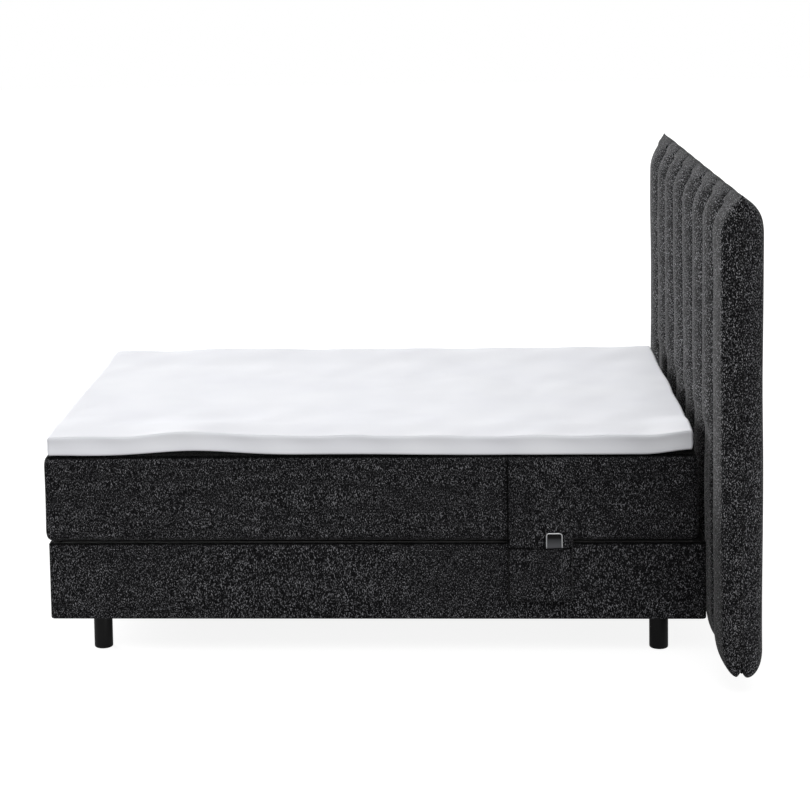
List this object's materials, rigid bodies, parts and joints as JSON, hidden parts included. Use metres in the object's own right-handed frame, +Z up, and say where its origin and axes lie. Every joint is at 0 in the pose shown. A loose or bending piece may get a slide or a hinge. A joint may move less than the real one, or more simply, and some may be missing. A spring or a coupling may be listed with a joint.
{
  "type": "box spring bed",
  "caption": "Upholstered adjustable box spring bed with topper, channelled padded headboard, round legs, lifting gear and a hand control in a side pocket.",
  "frame": {"origin": "middle of the bounding box, on the floor", "axes": "+Z up, +X from the foot end to the head end, +Y to the far long side"},
  "size_m": [2.164, 2.2, 1.475],
  "materials": {
    "tweed": "charcoal melange tweed, woven",
    "ticking": "white knitted topper cloth",
    "timber": "planed softwood",
    "plywood": "sanded birch plywood",
    "black_paint": "black powder coat, satin",
    "steel": "zinc plated steel",
    "black_plastic": "moulded black plastic, fine grain",
    "nylon": "natural nylon, moulded",
    "lining": "black nonwoven lining",
    "control": "dark moulded handset, silver rim"
  },
  "bodies": {
    "base": {"base_rail_right": "timber", "base_cover_right": "tweed", "base_rail_left": "timber", "base_cover_left": "tweed", "base_rail_foot": "timber", "base_cover_foot": "tweed", "base_rail_head": "timber", "base_cover_head": "tweed", "bearer_foot": "timber", "bearer_seat_foot": "timber", "bearer_seat_head": "timber", "bearer_head": "timber", "leg_foot_right": "black_paint", "corner_block_foot_right": "timber", "leg_foot_left": "black_paint", "corner_block_foot_left": "timber", "leg_head_right": "black_paint", "corner_block_head_right": "timber", "leg_head_left": "black_paint", "corner_block_head_left": "timber", "headboard_front_pad": "tweed", "headboard_back_pad": "tweed", "tube_plate_right": "steel", "tube_plate_left": "steel", "headboard_bracket": "steel", "headboard_core": "plywood", "bottom_lining": "lining", "seat_deck": "plywood", "seat_mattress": "tweed", "seat_topper": "ticking", "head_fold_padding": "tweed", "thigh_fold_padding": "tweed", "thigh_hinge_pin": "steel", "head_hinge_pin": "steel", "drive_housing": "black_plastic", "motor_unit": "black_plastic"},
    "head_section": {"head_deck": "plywood", "head_mattress": "tweed", "head_topper": "ticking", "head_track": "steel", "side_flap": "tweed"},
    "thigh_section": {"thigh_deck": "plywood", "thigh_mattress": "tweed", "thigh_topper": "ticking", "thigh_track": "steel"},
    "calf_section": {"calf_deck": "plywood", "calf_mattress": "tweed", "calf_topper": "ticking"},
    "control_arms": {"control_arms": "black_paint"},
    "head_lift": {"head_lift_frame": "black_paint"},
    "foot_lift": {"foot_lift_frame": "black_paint"},
    "head_roller_right": {"head_roller_right": "nylon"},
    "head_roller_left": {"head_roller_left": "nylon"},
    "foot_roller_right": {"foot_roller_right": "nylon"},
    "foot_roller_left": {"foot_roller_left": "nylon"},
    "head_thrust_block": {"head_thrust_block": "nylon"},
    "foot_thrust_block": {"foot_thrust_block": "nylon"},
    "hand_control": {"hand_control": "control"},
    "head_key": {"head_key": "black_plastic"},
    "foot_key": {"foot_key": "black_plastic"}
  },
  "joints": [
    {"name": "head_section_lift", "type": "hinge", "parent": "base", "child": "head_section", "pos_m": [0.18, 0, 0.36], "axis": [0, -1, 0], "range_deg": [0, 55], "deforming": ["head_fold_padding"]},
    {"name": "thigh_section_lift", "type": "hinge", "parent": "base", "child": "thigh_section", "pos_m": [-0.12, 0, 0.36], "axis": [0, 1, 0], "range_deg": [0, 28], "deforming": ["thigh_fold_padding"]},
    {"name": "calf_section_hinge", "type": "hinge", "parent": "thigh_section", "child": "calf_section", "pos_m": [-0.52, 0, 0.36], "axis": [0, 1, 0], "range_deg": [-28, 0]},
    {"name": "control_arm_swing", "type": "hinge", "parent": "base", "child": "control_arms", "pos_m": [-0.12, 0, 0.285], "axis": [0, 1, 0], "range_deg": [0, 28]},
    {"name": "head_tube_turn", "type": "hinge", "parent": "base", "child": "head_lift", "pos_m": [0.32, 0, 0.225], "axis": [0, -1, 0], "range_deg": [0, 65.41]},
    {"name": "foot_tube_turn", "type": "hinge", "parent": "base", "child": "foot_lift", "pos_m": [-0.21, 0, 0.225], "axis": [0, 1, 0], "range_deg": [0, 35.08]},
    {"name": "head_roller_right_spin", "type": "hinge", "parent": "head_lift", "child": "head_roller_right", "pos_m": [0.64249, -0.42, 0.295], "axis": [0, 1, 0], "continuous": true},
    {"name": "head_roller_left_spin", "type": "hinge", "parent": "head_lift", "child": "head_roller_left", "pos_m": [0.64249, 0.42, 0.295], "axis": [0, 1, 0], "continuous": true},
    {"name": "foot_roller_right_spin", "type": "hinge", "parent": "foot_lift", "child": "foot_roller_right", "pos_m": [-0.42909, -0.42, 0.295], "axis": [0, 1, 0], "continuous": true},
    {"name": "foot_roller_left_spin", "type": "hinge", "parent": "foot_lift", "child": "foot_roller_left", "pos_m": [-0.42909, 0.42, 0.295], "axis": [0, 1, 0], "continuous": true},
    {"name": "head_thrust_slide", "type": "slide", "parent": "base", "child": "head_thrust_block", "axis": [1, 0, 0], "range_m": [0, 0.06484]},
    {"name": "foot_thrust_slide", "type": "slide", "parent": "base", "child": "foot_thrust_block", "axis": [-1, 0, 0], "range_m": [0, 0.03616]},
    {"name": "control_lift_out", "type": "slide", "parent": "head_section", "child": "hand_control", "axis": [0, 0, 1], "range_m": [0, 0.16]},
    {"name": "head_key_rock", "type": "hinge", "parent": "hand_control", "child": "head_key", "pos_m": [0.4945, -0.7157, 0.3183], "axis": [1, 0, 0], "range_deg": [-3, 3], "stiffness_Nm_per_rad": 0.02},
    {"name": "foot_key_rock", "type": "hinge", "parent": "hand_control", "child": "foot_key", "pos_m": [0.5165, -0.7157, 0.3183], "axis": [1, 0, 0], "range_deg": [-3, 3], "stiffness_Nm_per_rad": 0.02}
  ],
  "couplings": [
    {"joint": "calf_section_hinge", "follows": "thigh_section_lift", "ratio": -1},
    {"joint": "control_arm_swing", "follows": "thigh_section_lift", "ratio": 1},
    {"joint": "head_tube_turn", "follows": "head_section_lift", "ratio": 1.1893},
    {"joint": "foot_tube_turn", "follows": "thigh_section_lift", "ratio": 1.2527},
    {"joint": "head_thrust_slide", "follows": "head_section_lift", "m_per_rad": 0.067543},
    {"joint": "foot_thrust_slide", "follows": "thigh_section_lift", "m_per_rad": 0.073992}
  ]
}
